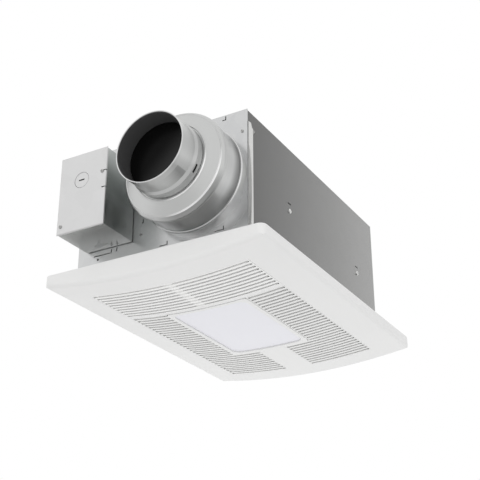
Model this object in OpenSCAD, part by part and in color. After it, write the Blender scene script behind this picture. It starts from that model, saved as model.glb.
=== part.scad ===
// Ceiling mounted fan heater with a light, seen in the building order: housing, duct, wiring,
// blower, heater, light and grille. Millimetres. The ceiling is the plane z = 0, +Z goes up into
// the ceiling space, the duct leaves towards -Y, and the origin is the middle of the opening.

/* [Housing] */
// Width of the housing across the joists
housing_w = 254; // [250:1:270]
// Length of the housing along the joists
housing_l = 404; // [402:1:430]
// Height of the housing above the ceiling
housing_h = 188; // [186:1:200]
// Thickness of the galvanised sheet
sheet_t = 1; // [0.8:0.1:1.2]
// Width of the flange turned out under the long walls
flange_w = 15; // [12:0.5:20]
// Radius of the screw holes in that flange
flange_hole_r = 2.25; // [1.5:0.05:3]
// Distance between the screw holes along the flange
flange_hole_pitch = 300; // [200:5:360]
// Width of the strip folded out beside the duct plate
fold_w = 7.6; // [6:0.1:9]
// How far that strip bulges forward
fold_bulge = 0.9; // [0.6:0.1:2]
// Height at which the strip's cut corner starts
fold_top = 149; // [120:1:155]
// Height of the cut corner
fold_corner = 23; // [10:1:26]

/* [Duct] */
// Distance of the duct's axis from the middle of the housing
duct_x = 54.8; // [50:0.2:56]
// Height of the duct's axis above the ceiling
duct_z = 94; // [92:0.5:98]
// Outer radius of the large collar
big_r = 73.5; // [72:0.1:75]
// Length of the large collar
big_len = 59; // [50:1:70]
// Outer radius of the small collar
small_r = 49; // [48:0.1:50]
// Length of the small collar
small_len = 55; // [50:1:60]
// Thickness of the collar's sheet
collar_t = 0.8; // [0.6:0.1:1]
// Thickness of the duct plate
plate_t = 1.2; // [0.8:0.1:1.6]
// Radius of the bead round the foot of the large collar
foot_bead_r = 1.9; // [1.4:0.1:2.4]
// Distance of that bead from the plate
foot_bead_out = 16; // [5:0.5:20]
// How far the duct plate stands past the housing on the junction box's side
plate_wing = 9; // [6:0.5:12]
// Radius of the reducer's rounded shoulder
shoulder_r = 6; // [4:0.5:8]
// How far the shoulder stands proud of the skirt
shoulder_proud = 1.1; // [0.5:0.1:2]
// Slope of the domed face between the shoulder and the small collar
dome_slope = 25; // [10:1:32]
// Radius of the bead round that face's outer edge
crest_bead_r = 1.1; // [0.6:0.1:1.6]
// Radius of the bead round its inner edge
dome_bead_r = 1.1; // [0.9:0.1:1.6]
// Width of the valley between that bead and the raised band
valley_w = 1.3; // [0.8:0.1:2]
// Depth of the valley
valley_d = 1.2; // [0.6:0.1:1.6]
// Width of the raised band above the valley
band_w = 11; // [8:0.5:12]
// Width of the slope from that band down to the small collar
band_fall = 5; // [3:0.5:7]
// How far the band stands proud of the small collar
band_proud = 1.7; // [1:0.1:2.5]

/* [Damper] */
// Wall of the black damper sleeve
sleeve_t = 1; // [0.8:0.1:1.4]
// Length of the damper sleeve
sleeve_len = 62; // [50:1:80]
// Depth of the closed flap inside the mouth
flap_depth = 26; // [18:1:36]
// Thickness of the flap
flap_t = 1.2; // [0.8:0.1:2]
// Gap between the flap and the sleeve
flap_gap = 1.6; // [1.2:0.1:3]
// Height of the flap's pivot above the duct's axis
pivot_rise = 10; // [6:0.5:14]
// Radius of the pivot pin
pivot_r = 1.5; // [1:0.1:2]
// Running clearance of pins and shafts
run_gap = 0.06; // [0.03:0.01:0.1]

/* [Junction box] */
// Width of the junction box
jbox_w = 76; // [66:1:80]
// Height of the junction box
jbox_h = 113; // [100:1:120]
// Depth of the junction box
jbox_d = 67; // [55:1:75]
// Gap from the box's left side to the housing's corner
jbox_inset = 5.3; // [2:0.1:8]
// Height of the box's floor above the ceiling
jbox_z = 34.6; // [30:0.2:44]
// Radius of the knockout
knockout_r = 11.1; // [9:0.1:14]
// Length of the screwdriver slot in the knockout
knockout_slot = 9; // [6:0.5:12]

/* [Grille] */
// Width of the grille
grille_w = 334; // [326:1:350]
// Length of the grille
grille_l = 468; // [460:1:490]
// Depth of the grille below the ceiling in the middle
grille_h = 30; // [28:0.5:36]
// Depth of the grille at its long edges
grille_edge = 16; // [14:0.5:20]
// Wall of the moulded grille
shell_t = 2.5; // [2:0.1:3]
// Plan radius of the corners
corner_r = 9; // [8:1:20]
// Radius of the lower edges
edge_r = 6.5; // [3.5:0.5:7]
// Half width of the louvred field
field_x = 121.6; // [114:0.1:123]
// Near end of the louvred field
field_near = 190.4; // [186:0.2:194]
// Pitch of the slats in the near band
near_pitch = 8.9; // [8.5:0.1:9.1]
// Pitch of the slats in the far field
far_pitch = 9.2; // [8.9:0.05:9.3]
// Number of rows in the near band
near_rows = 10; // [8:1:10]
// Number of rows in the far field
far_rows = 31; // [24:1:31]
// Width of a slat's lower face
slat_w = 5; // [3.6:0.1:5.4]
// Width of a slat's upper edge
slat_top_w = 2; // [1.5:0.1:3]
// Depth of the slats
slat_h = 6; // [4:0.5:7]
// Lean of the slats towards the duct
slat_lean = 10; // [0:1:40]
// Width of the plain strip between the two louvres
strip_w = 6.4; // [5:0.2:9]
// Width of the rib across the near band
near_rib_w = 12; // [8:0.5:16]
// Depth of that rib behind the slats' lower faces
rib_depth = 1; // [0.5:0.1:2]
// Width of the plain pad at the far end
pad_w = 43; // [36:1:60]

/* [Light] */
// Width of the light lens
lens_w = 115; // [100:1:120]
// Length of the light lens
lens_l = 177; // [160:1:180]
// Width of the moulded surround
surround_w = 6; // [5:0.2:7]
// How far the surround stands proud
surround_proud = 0.8; // [0.4:0.1:1.2]
// Thickness of the lens
lens_t = 2.2; // [1.6:0.1:3]
// Depth of the lens behind the grille's face
lens_recess = 1.2; // [0.6:0.1:2]
// Number of rows of lamps on the board
led_rows = 8; // [4:1:10]
// Number of lamps in a row
led_cols = 4; // [2:1:6]

/* [Grille springs] */
// Radius of the spring wire
wire_r = 0.9; // [0.7:0.05:1.1]
// Mean radius of the coil
coil_r = 4.6; // [4:0.1:5.2]
// Angle of the arms from upright with the grille shut
arm_angle = 58; // [50:1:60]
// Length of the arms
arm_len = 95; // [90:1:100]
// Half length of the slot that the arms pass through
slot_half = 38; // [37:1:42]

/* [Blower] */
// Distance of the wheel's axis from the wall that the duct leaves through
blower_inset = 117; // [115:1:120]
// Radius of the blower wheel
wheel_r = 72; // [66:0.5:74]
// Height of the blower wheel
wheel_h = 70; // [50:1:72]
// Number of blades
blades = 36; // [24:1:44]
// Least distance from the wheel to the scroll
scroll_gap = 7; // [5:0.5:9]
// Growth of the scroll's radius for each quarter turn
scroll_step = 12; // [10:0.5:12.5]
// Wall of the scroll
scroll_t = 1.6; // [1.2:0.1:2]
// Height of the air passage in the scroll
scroll_h = 92; // [86:1:94]
// Radius of the blower motor
motor_r = 34; // [28:0.5:36]
// Radius of the blower shaft
shaft_r = 4; // [3:0.1:5]

/* [Heater] */
// Width of the heater case
heater_w = 140; // [120:1:150]
// Length of the heater case
heater_l = 104; // [101:1:105]
// Height of the heater case
heater_h = 112; // [104:1:116]
// Height of the case's lower edge above the ceiling
heater_z = 6; // [4:0.5:10]
// Radius of the heater fan
fan_r = 46; // [40:0.5:48]
// Number of fan blades
fan_blades = 7; // [5:1:9]
// Number of fins on the heating element
fins = 34; // [20:1:40]

/* [Hidden] */

// Overrun of every cut past the face that it opens
cut = 1;
// Gap between moulded pieces that drop into each other
fit_gap = 0.15;
// Gap between a moving piece and what it stops against
stop_gap = 0.3;
// Radius and height of a screw head
head_r = 3.2;
head_h = 1.6;
$fn = 96;

inner_x = housing_w / 2 - sheet_t;
inner_y = housing_l / 2 - sheet_t;
inner_top = housing_h - sheet_t;
front_y = -housing_l / 2;
plate_y = front_y - plate_t;

// A block given by its low and high corners
module block(low, high) {
  translate(low) cube([high[0] - low[0], high[1] - low[1], high[2] - low[2]]);
}

// A rectangle with round corners, centred
module round_rect(w, l, r) {
  square([w - 2 * r, l], center = true);
  square([w, l - 2 * r], center = true);
  for (sx = [-1, 1], sy = [-1, 1]) translate([sx * (w / 2 - r), sy * (l / 2 - r)]) circle(r);
}

// A ring or a tube along +Z
module tube(outer, inner, h) {
  difference() {
    cylinder(r = outer, h = h);
    translate([0, 0, -cut]) cylinder(r = inner, h = h + 2 * cut);
  }
}

// A bent strip of sheet in section: an arc of the outer radius r from one angle to another
module bend(r, t, from, to) {
  mid = (from + to) / 2;
  intersection() {
    difference() {
      circle(r, $fn = 64);
      circle(r - t, $fn = 64);
    }
    polygon([[0, 0], 3 * r * [cos(from), sin(from)], 3 * r * [cos(mid), sin(mid)],
             3 * r * [cos(to), sin(to)]]);
  }
}

// A pan head with a cross recess, seated on z = 0 and rising along +Z
module screw_head(r = head_r, h = head_h) {
  slot = 2 * r * 0.7;
  difference() {
    union() {
      cylinder(r = r, h = h * 0.6);
      cylinder(r = r * 0.8, h = h);
    }
    for (turn = [0, 90]) rotate([0, 0, turn])
      translate([-slot / 2, -r * 0.12, h * 0.5]) cube([slot, r * 0.24, h]);
  }
}

// Places children on the duct's axis, with +Z going out of the duct from the plate's face
module on_duct() {
  translate([duct_x, plate_y, duct_z]) rotate([90, 0, 0]) children();
}

// HOUSING

wall_slot_l = 9;
wall_slot_h = 1.8;
wall_hole_y_share = [-0.418, 0.679];
wall_hole_z_share = [0.537, 0.489];
wall_screw_z_share = [0.476, 0.434];
outlet_half = 46;
fold_gap = 1.8;
outlet_half_h = scroll_h / 2;

// The strip folded out beside the plate: bulged in plan, with a torn upper corner
module front_fold() {
  bulge_r = (pow(fold_w / 2, 2) + pow(fold_bulge, 2)) / (2 * fold_bulge);
  x0 = housing_w / 2 - sheet_t;
  x1 = housing_w / 2 + fold_gap;
  x2 = x1 + fold_w;
  ear = fold_w * 0.4;
  intersection() {
    translate([0, 0, 2 * sheet_t]) linear_extrude(housing_h) {
      intersection() {
        translate([(x1 + x2) / 2, front_y - fold_bulge + bulge_r]) circle(bulge_r);
        translate([x1, front_y - fold_bulge]) square([fold_w, fold_bulge]);
      }
      translate([x0, front_y]) square([x2 + ear - x0, sheet_t]);
    }
    translate([0, front_y + sheet_t + cut, 0]) rotate([90, 0, 0])
      linear_extrude(fold_bulge + sheet_t + 2 * cut)
        polygon([[x0, 0], [x2, 0], [x2, fold_top - ear], [x2 + ear, fold_top],
                 [x2 - ear / 2, fold_top + fold_corner * 0.35], [x2 - ear, fold_top + fold_corner * 0.7],
                 [x0 + sheet_t, fold_top + fold_corner], [x0, fold_top + fold_corner]]);
  }
}

module housing_shell() {
  color([0.62, 0.63, 0.64]) difference() {
    union() {
      block([-housing_w / 2, -housing_l / 2, 0], [housing_w / 2, housing_l / 2, housing_h]);
      for (s = [-1, 1]) translate([s * (housing_w + flange_w) / 2, 0, sheet_t / 2])
        cube([flange_w + sheet_t, housing_l, sheet_t], center = true);
      front_fold();
    }
    block([-inner_x, -inner_y, -cut], [inner_x, inner_y, inner_top]);
    // the way out for the air
    block([duct_x - outlet_half, front_y - cut, duct_z - outlet_half_h],
          [duct_x + outlet_half, -inner_y + cut, duct_z + outlet_half_h]);
    // joist screw holes
    for (sx = [-1, 1], sy = [-1, 1])
      translate([sx * (housing_w + flange_w) / 2, sy * flange_hole_pitch / 2, -cut])
        cylinder(r = flange_hole_r, h = sheet_t + 2 * cut);
    // small slots above the wall screws
    for (s = [-1, 1], i = [0, 1])
      translate([s * housing_w / 2, wall_hole_y_share[i] * housing_l / 2,
                 wall_hole_z_share[i] * housing_h])
        rotate([0, 90, 0]) linear_extrude(4 * sheet_t, center = true) {
          square([wall_slot_h, wall_slot_l - wall_slot_h], center = true);
          for (end = [-1, 1]) translate([0, end * (wall_slot_l - wall_slot_h) / 2])
            circle(wall_slot_h / 2, $fn = 32);
        }
    lances();
    at_tag_hole() cylinder(r = tag_hole_r, h = 2 * (sheet_t + plate_t) + cut, center = true);
  }
}

module side_wall_screws() {
  color([0.8, 0.8, 0.8])
    for (s = [-1, 1], i = [0, 1])
      translate([s * housing_w / 2, wall_hole_y_share[i] * housing_l / 2,
                 wall_screw_z_share[i] * housing_h])
        rotate([0, s * 90, 0]) screw_head();
}

// DUCT PLATE

plate_half = housing_w / 2 + fold_gap - stop_gap;
plate_hole_r = big_r - 5 * collar_t;
plate_foot = 2 * sheet_t;
// The faint pressed arc below the collar
arc_mark_r = 1.238 * big_r;
arc_mark_w = 1.4;
arc_mark_from = -66;
arc_mark_turn = 32;
// L-shaped lances through plate and wall: a stroke upwards, with a foot to its left
lance_w = 1.4;
lance_h = 6;
lance_l = 15;
lance_x_share = [0.74, 0.72, 0.06, -0.245, -0.635, -0.565];
lance_z_share = [0.958, 0.104, 0.098, 0.318, 0.145, 0.15];
lance_foot_share = [0.3, 0.85, 0.75, 0.08, 1.9, 0.08];
plate_screw_x_share = [0.94, 0.94, -0.26];
plate_screw_z_share = [0.83, 0.053, 0.227];
tag_hole_r = 1.7;
tag_hole_x_share = -0.8;
tag_hole_z_share = 0.12;

module at_tag_hole() {
  translate([tag_hole_x_share * plate_half, front_y, tag_hole_z_share * housing_h])
    rotate([90, 0, 0]) children();
}

module lances() {
  for (i = [0 : 5])
    translate([lance_x_share[i] * plate_half, front_y + sheet_t + cut, lance_z_share[i] * housing_h])
      rotate([90, 0, 0]) linear_extrude(plate_t + sheet_t + 2 * cut) {
        square([lance_w, lance_h]);
        translate([-lance_foot_share[i] * lance_l, 0])
          square([lance_foot_share[i] * lance_l + lance_w / 2, lance_w]);
      }
}

module duct_plate() {
  color([0.7, 0.71, 0.72]) difference() {
    block([-housing_w / 2 - plate_wing, plate_y, plate_foot], [plate_half, front_y, housing_h]);
    on_duct() translate([0, 0, -plate_t - cut]) cylinder(r = plate_hole_r, h = plate_t + 2 * cut);
    on_duct() translate([0, 0, -plate_t / 3]) rotate([0, 0, arc_mark_from])
      rotate_extrude(angle = arc_mark_turn, $fn = 180)
        translate([arc_mark_r - arc_mark_w / 2, 0]) square([arc_mark_w, plate_t]);
    lances();
    at_tag_hole() cylinder(r = tag_hole_r, h = 2 * (sheet_t + plate_t) + cut, center = true);
  }
}

module duct_plate_screw() {
  rotate([90, 0, 0]) screw_head(head_r * 0.7, head_h * 0.8);
}

// Three screws in view, and one above the junction box
module duct_plate_screws() {
  color([0.75, 0.75, 0.76]) {
    for (i = [0 : 2])
      translate([plate_screw_x_share[i] * plate_half, plate_y, plate_screw_z_share[i] * housing_h])
        duct_plate_screw();
    translate([-0.94 * plate_half, plate_y, (jbox_z1 + cover_t + housing_h) / 2]) duct_plate_screw();
  }
}

// LARGE COLLAR AND REDUCER

shoulder_out = big_len - collar_t - shoulder_r / 2;

module duct_collar_large() {
  color([0.6, 0.6, 0.61]) on_duct() rotate_extrude($fn = 180) {
    translate([big_r - collar_t, 0]) square([collar_t, shoulder_out]);
    translate([plate_hole_r, 0]) square([big_r - plate_hole_r, collar_t]);
    translate([big_r - collar_t, foot_bead_out]) bend(foot_bead_r + collar_t, collar_t, -90, 90);
  }
}

skirt_r = big_r + collar_t + fit_gap;
skirt_len = 8 * collar_t;
mouth_out = big_len + collar_t + small_len;
hem_r = 0.7;
// The shoulder's centre in the profile, and the places along the dome and the band
shoulder_x = skirt_r + shoulder_proud - shoulder_r;
skirt_turn = acos((skirt_r - shoulder_x) / shoulder_r);
dome_x = shoulder_x + shoulder_r * sin(dome_slope);
dome_out = shoulder_out + shoulder_r * cos(dome_slope);
band_r = small_r + band_proud;
foot_r = band_r + valley_w + dome_bead_r;
foot_out = dome_out + (dome_x - foot_r) * tan(dome_slope);
floor_out = foot_out - valley_d - collar_t;
band_out = foot_out + dome_bead_r;
plain_out = band_out + band_w + band_fall;
slot_turn = -30;
slot_l = 11.5;
slot_w = 3.3;
slot_out = band_out + 0.62 * band_w;

// Half profile of the reducer: skirt, rounded shoulder, domed face between two beads, valley,
// band and small collar
module reducer_profile() {
  skirt_top = shoulder_out - shoulder_r * sin(skirt_turn);
  lean = collar_t * [sin(dome_slope), cos(dome_slope)];
  translate([skirt_r - collar_t, skirt_top - skirt_len])
    square([collar_t, skirt_len + collar_t]);
  translate([shoulder_x, shoulder_out]) bend(shoulder_r, collar_t, -skirt_turn, 90 - dome_slope);
  polygon([[dome_x, dome_out], [foot_r, foot_out], [foot_r, foot_out] - lean,
           [dome_x, dome_out] - lean]);
  translate([dome_x - crest_bead_r,
             dome_out + crest_bead_r * tan(dome_slope) - crest_bead_r / 2])
    circle(crest_bead_r, $fn = 32);
  translate([foot_r, foot_out - dome_bead_r / 2]) circle(dome_bead_r, $fn = 32);
  translate([band_r - collar_t, floor_out]) square([foot_r - band_r + collar_t, collar_t]);
  polygon([[band_r, floor_out], [band_r, band_out + band_w], [small_r, plain_out],
           [small_r, mouth_out], [small_r - collar_t, mouth_out],
           [small_r - collar_t, plain_out], [band_r - collar_t, band_out + band_w],
           [band_r - collar_t, floor_out]]);
  translate([small_r - hem_r, mouth_out - hem_r]) circle(hem_r, $fn = 32);
}

module duct_reducer() {
  color([0.78, 0.79, 0.8]) on_duct() difference() {
    rotate_extrude($fn = 180) reducer_profile();
    rotate([0, 0, slot_turn])
      translate([small_r - 3 * collar_t, -slot_l / 2, slot_out - slot_w / 2])
        cube([6 * collar_t, slot_l, slot_w]);
  }
}

// DAMPER

sleeve_r = small_r - collar_t - fit_gap;
sleeve_in = sleeve_r - sleeve_t;
sleeve_out = mouth_out - 2 * hem_r - fit_gap;
flap_r = sleeve_in - flap_gap;
flap_out = mouth_out - flap_depth;
pin_half = sqrt(pow(sleeve_r, 2) - pow(pivot_rise + pivot_r, 2)) - fit_gap;
hub_r = 2 * pivot_r;
pivot_out = flap_out - hub_r;

// The black lining stays just behind the collar's hemmed mouth
module damper_sleeve() {
  color([0.12, 0.12, 0.12]) on_duct() difference() {
    translate([0, 0, sleeve_out - sleeve_len]) tube(sleeve_r, sleeve_in, sleeve_len);
    translate([0, pivot_rise, pivot_out]) rotate([0, 90, 0])
      cylinder(r = pivot_r + run_gap, h = 2 * small_r + cut, center = true, $fn = 48);
  }
}

// A plain disc outside, with the hub for its pin behind it
module damper_flap() {
  color([0.06, 0.06, 0.06]) on_duct() difference() {
    union() {
      translate([0, 0, flap_out - flap_t]) cylinder(r = flap_r, h = flap_t);
      translate([0, pivot_rise, pivot_out]) rotate([0, 90, 0])
        cylinder(r = hub_r, h = 2 * pin_half - 4 * flap_gap, center = true, $fn = 48);
    }
    translate([0, pivot_rise, pivot_out]) rotate([0, 90, 0])
      cylinder(r = pivot_r, h = 2 * small_r, center = true, $fn = 48);
  }
}

module damper_pin() {
  color([0.7, 0.7, 0.7]) on_duct() translate([0, pivot_rise, pivot_out]) rotate([0, 90, 0])
    cylinder(r = pivot_r, h = 2 * pin_half, center = true, $fn = 48);
}

// JUNCTION BOX

jbox_x0 = -housing_w / 2 + jbox_inset;
jbox_x1 = jbox_x0 + jbox_w;
jbox_z1 = jbox_z + jbox_h;
jbox_y0 = plate_y - jbox_d;
cover_t = 1;
cover_lip = 2.6;
cover_round = 1.6;
cover_y = jbox_y0 + cover_t;
knock_x = jbox_x0 + 0.48 * jbox_w;
knock_z = jbox_z + 0.65 * jbox_h;
knock_gap = 3 * fit_gap;
knock_shift = 2 * fit_gap;
edge_slit_share = [0.69, 0.47];
edge_slit_l = 6;
edge_slit_w = 1.5;
// The open seam between the box's sides and the plate
seam_w = 1.2;
seam_d = 2.5;
back_y = plate_y - seam_w;
relief_w = 3.2;

// The box's back is pressed out in the middle and stands on the plate there
module junction_box() {
  color([0.42, 0.43, 0.42]) difference() {
    union() {
      block([jbox_x0 + cover_t, cover_y, jbox_z + cover_t], [jbox_x1 - cover_t, back_y, jbox_z1]);
      block([jbox_x0 + cover_t + seam_d, back_y - sheet_t, jbox_z + cover_t + seam_d],
            [jbox_x1 - cover_t - seam_d, plate_y, jbox_z1 - seam_d]);
    }
    block([jbox_x0 + cover_t + sheet_t, cover_y - cut, jbox_z + cover_t + sheet_t],
          [jbox_x1 - cover_t - sheet_t, back_y - sheet_t, jbox_z1 - sheet_t]);
  }
}

// A bar along +Z of the size w by d, with its two front edges rounded off
module round_front(w, d, h) {
  linear_extrude(h) {
    translate([0, cover_round]) square([w, d - cover_round]);
    translate([cover_round, 0]) square([w - 2 * cover_round, d]);
    for (x = [cover_round, w - cover_round]) translate([x, cover_round]) circle(cover_round, $fn = 32);
  }
}

// A shallow tray that closes the front and laps the sides
module junction_box_cover() {
  cover_h = jbox_h + cover_t;
  color([0.83, 0.83, 0.83]) difference() {
    translate([jbox_x0, jbox_y0, jbox_z]) intersection() {
      round_front(jbox_w, cover_lip, cover_h);
      mirror([1, 0, 0]) rotate([0, -90, 0]) round_front(cover_h, cover_lip, jbox_w);
    }
    block([jbox_x0 + cover_t, cover_y, jbox_z + cover_t],
          [jbox_x1 - cover_t, jbox_y0 + cover_lip + cut, jbox_z1]);
    translate([knock_x, cover_y + cut, knock_z]) rotate([90, 0, 0])
      cylinder(r = knockout_r + knock_gap, h = cover_t + 2 * cut, $fn = 72);
    // bend reliefs at the four corners of the lip
    for (x = [jbox_x0 - cut, jbox_x1 - relief_w], z = [jbox_z - cut, jbox_z + cover_h - relief_w])
      block([x, jbox_y0 + cover_round, z],
            [x + relief_w + cut, jbox_y0 + cover_lip + cut, z + relief_w + cut]);
    for (share = edge_slit_share)
      translate([jbox_x1 - edge_slit_l, jbox_y0 - cut, jbox_z + share * jbox_h])
        cube([edge_slit_l + cut, cover_lip + 2 * cut, edge_slit_w]);
  }
}

// The knockout was sheared and pushed back, so it sits to one side of its hole
module conduit_knockout() {
  color([0.8, 0.8, 0.8]) translate([knock_x - knock_shift, cover_y, knock_z + knock_shift])
    rotate([90, 0, 0]) difference() {
      translate([0, 0, -cover_t / 2]) cylinder(r = knockout_r, h = cover_t, $fn = 72);
      translate([-knockout_slot / 2, -cover_t, -cover_t])
        cube([knockout_slot, 2 * cover_t, 3 * cover_t]);
    }
}

module junction_box_screws() {
  color([0.7, 0.7, 0.7])
    for (place = [[jbox_x1 - 2 * head_r, 0.688], [jbox_x0 + 2 * head_r, 0.1]])
      translate([place[0], jbox_y0, jbox_z + place[1] * jbox_h]) rotate([90, 0, 0])
        screw_head(head_r * 0.8, head_h * 0.8);
}

term_w = 12;
term_h = 18;
term_d = 16;

module terminal_block() {
  color([0.9, 0.9, 0.86])
    translate([(jbox_x0 + jbox_x1) / 2 - 1.5 * term_w, back_y - sheet_t - term_d,
               jbox_z + jbox_h / 2]) difference() {
      cube([3 * term_w, term_d, term_h]);
      for (i = [0 : 2]) {
        translate([(i + 0.5) * term_w, term_d / 2, term_h - term_d / 2])
          cylinder(r = term_w / 4, h = term_h, $fn = 32);
        translate([(i + 0.5) * term_w, -cut, term_h / 3]) rotate([-90, 0, 0])
          cylinder(r = term_w / 5, h = term_d / 2 + cut, $fn = 32);
      }
    }
}

module ground_screw() {
  color([0.2, 0.5, 0.25])
    translate([jbox_x0 + jbox_w / 4, back_y - sheet_t, jbox_z + jbox_h / 4])
      rotate([90, 0, 0]) screw_head(head_r, head_h);
}

// BLOWER SCROLL

// The scroll is drawn in quarter arcs about the corners of a small square, each quarter a step
// larger, growing clockwise from the tongue to the outlet
wheel_x = duct_x + outlet_half - scroll_step / 2 - (wheel_r + scroll_gap + 2.5 * scroll_step);
wheel_y = front_y + blower_inset;
scroll_z = duct_z - scroll_h / 2;
gasket_t = 2;
scroll_end = -inner_y + gasket_t;
arc_r = wheel_r + scroll_gap + scroll_step / 2;

// A quarter disc between the directions turn and turn + 90
module quarter(r, turn) {
  rotate([0, 0, turn]) intersection() {
    circle(r, $fn = 180);
    square(r + cut);
  }
}

module scroll_area(grow, past_end = 0) {
  half = scroll_step / 2;
  tongue_x = duct_x - outlet_half - wheel_x - grow;
  outlet_x = half + arc_r + 2 * scroll_step + grow;
  floor_y = half - arc_r - grow;
  translate([-half, half]) quarter(arc_r + grow, 180);
  translate([half, half]) quarter(arc_r + scroll_step + grow, 90);
  translate([half, -half]) quarter(arc_r + 2 * scroll_step + grow, 0);
  translate([-half, floor_y]) square([scroll_step, half - floor_y]);
  translate([0, floor_y]) square([tongue_x + cut, -floor_y]);
  translate([tongue_x, scroll_end - wheel_y - past_end])
    square([outlet_x - tongue_x, wheel_y - scroll_end - half + past_end]);
  translate([half, floor_y]) square([tongue_x, -floor_y - half]);
}

module on_wheel(z) {
  translate([wheel_x, wheel_y, z]) children();
}

top_hole_r = 4 * shaft_r;

module blower_scroll() {
  color([0.25, 0.25, 0.26]) on_wheel(scroll_z) difference() {
    linear_extrude(scroll_h + scroll_t) scroll_area(0);
    translate([0, 0, -cut]) linear_extrude(scroll_h + cut) scroll_area(-scroll_t, cut);
    translate([0, 0, scroll_h - cut]) cylinder(r = top_hole_r, h = scroll_t + 2 * cut);
  }
}

mouth_r = 0.75 * wheel_r;
lip_r = 9;

// The lower plate, with a bell mouth that turns up into the wheel
module blower_inlet_ring() {
  color([0.66, 0.67, 0.68]) on_wheel(scroll_z - scroll_t) {
    difference() {
      linear_extrude(scroll_t) scroll_area(0);
      translate([0, 0, -cut]) cylinder(r = mouth_r + lip_r, h = scroll_t + 2 * cut);
    }
    rotate_extrude() translate([mouth_r + lip_r, lip_r]) intersection() {
      difference() {
        circle(lip_r, $fn = 64);
        circle(lip_r - scroll_t, $fn = 64);
      }
      translate([-lip_r, -lip_r]) square(lip_r);
    }
  }
}

module outlet_gasket() {
  color([0.1, 0.1, 0.1])
    translate([duct_x, -inner_y + gasket_t, duct_z]) rotate([90, 0, 0]) linear_extrude(gasket_t)
      difference() {
        square([2 * (outlet_half + 3 * scroll_t), 2 * outlet_half_h + 2 * scroll_t],
               center = true);
        square([2 * (outlet_half - scroll_t), 2 * (outlet_half_h - scroll_t)], center = true);
      }
}

bracket_w = 14;
bracket_x_share = [-0.78, 0.82];
scroll_top = scroll_z + scroll_h + scroll_t;

// Two Z brackets that hang the scroll from the housing's roof
module scroll_brackets() {
  color([0.68, 0.69, 0.7])
    for (share = bracket_x_share) translate([wheel_x + share * wheel_r, wheel_y, 0]) {
      block([-bracket_w / 2, -3 * bracket_w / 2, scroll_top],
            [bracket_w / 2, 0, scroll_top + sheet_t]);
      block([-bracket_w / 2, -sheet_t, scroll_top], [bracket_w / 2, 0, inner_top]);
      block([-bracket_w / 2, -sheet_t, inner_top - sheet_t],
            [bracket_w / 2, 3 * bracket_w / 2, inner_top]);
    }
}

// BLOWER MOTOR AND WHEEL

motor_plate_t = 1.5;
motor_z = scroll_top + motor_plate_t;
motor_h = inner_top - motor_z - 6 * motor_plate_t;
bearing_r = 2.6 * shaft_r;
bearing_h = 7;
wheel_z = scroll_z + lip_r - scroll_t / 2;
back_t = 2;
blade_t = 0.9;
blade_in = 0.81;

module blower_motor_plate() {
  color([0.7, 0.7, 0.7]) on_wheel(scroll_top) difference() {
    cylinder(r = motor_r + 2 * head_r, h = motor_plate_t);
    translate([0, 0, -cut]) cylinder(r = bearing_r + stop_gap, h = motor_plate_t + 2 * cut);
  }
}

module blower_motor() {
  color([0.3, 0.3, 0.32]) on_wheel(motor_z) difference() {
    union() {
      cylinder(r = motor_r, h = motor_h);
      cylinder(r = motor_r * 0.5, h = motor_h + 2 * motor_plate_t);
    }
    translate([0, 0, -cut]) cylinder(r = bearing_r, h = bearing_h + cut);
    translate([0, 0, -cut]) cylinder(r = shaft_r + stop_gap, h = motor_h * 0.7 + cut);
  }
}

module blower_bearing() {
  color([0.75, 0.75, 0.77]) on_wheel(motor_z) tube(bearing_r, shaft_r + run_gap, bearing_h);
}

module blower_motor_screws() {
  color([0.6, 0.6, 0.6])
    for (i = [0 : 2]) on_wheel(motor_z) rotate([0, 0, 120 * i + 30])
      translate([motor_r + head_r, 0, 0]) screw_head(head_r * 0.8, head_h);
}

module blower_shaft() {
  color([0.8, 0.8, 0.8]) on_wheel(wheel_z + wheel_h * 0.6)
    cylinder(r = shaft_r, h = motor_z + motor_h * 0.6 - wheel_z - wheel_h * 0.6);
}

// One forward curved blade as a thin crescent, ending just inside the rim
module blade_outline() {
  chord = wheel_r * (1 - blade_in);
  curve_r = 0.72 * chord;
  intersection() {
    translate([wheel_r - chord / 2, -0.45 * chord]) difference() {
      circle(curve_r, $fn = 60);
      circle(curve_r - blade_t, $fn = 60);
    }
    difference() {
      circle(wheel_r - blade_t, $fn = 180);
      circle(wheel_r - chord, $fn = 180);
    }
    translate([0, -blade_t]) square([wheel_r, chord]);
  }
}

module blower_wheel() {
  color([0.16, 0.16, 0.17]) on_wheel(wheel_z) difference() {
    union() {
      linear_extrude(wheel_h) for (i = [0 : blades - 1]) rotate([0, 0, i * 360 / blades])
        blade_outline();
      tube(wheel_r, wheel_r - 1.5 * back_t, back_t);
      translate([0, 0, wheel_h - back_t]) cylinder(r = wheel_r, h = back_t);
      translate([0, 0, wheel_h * 0.7]) cylinder(r = 2.5 * shaft_r, h = wheel_h * 0.3 + back_t);
    }
    translate([0, 0, wheel_h * 0.6]) cylinder(r = shaft_r, h = wheel_h);
  }
}

module blower_wheel_clip() {
  color([0.75, 0.75, 0.75]) on_wheel(wheel_z + wheel_h * 0.7 - back_t)
    tube(1.8 * shaft_r, shaft_r, back_t);
}

// HEATER

heater_y1 = inner_y - 3 * stop_gap;
heater_y0 = heater_y1 - heater_l;
heater_y = (heater_y0 + heater_y1) / 2;
heater_top = heater_z + heater_h;
fan_gap = 2;
fan_h = 20;
fan_z = heater_top - fan_h - fan_gap;
tab_w = 16;

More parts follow.
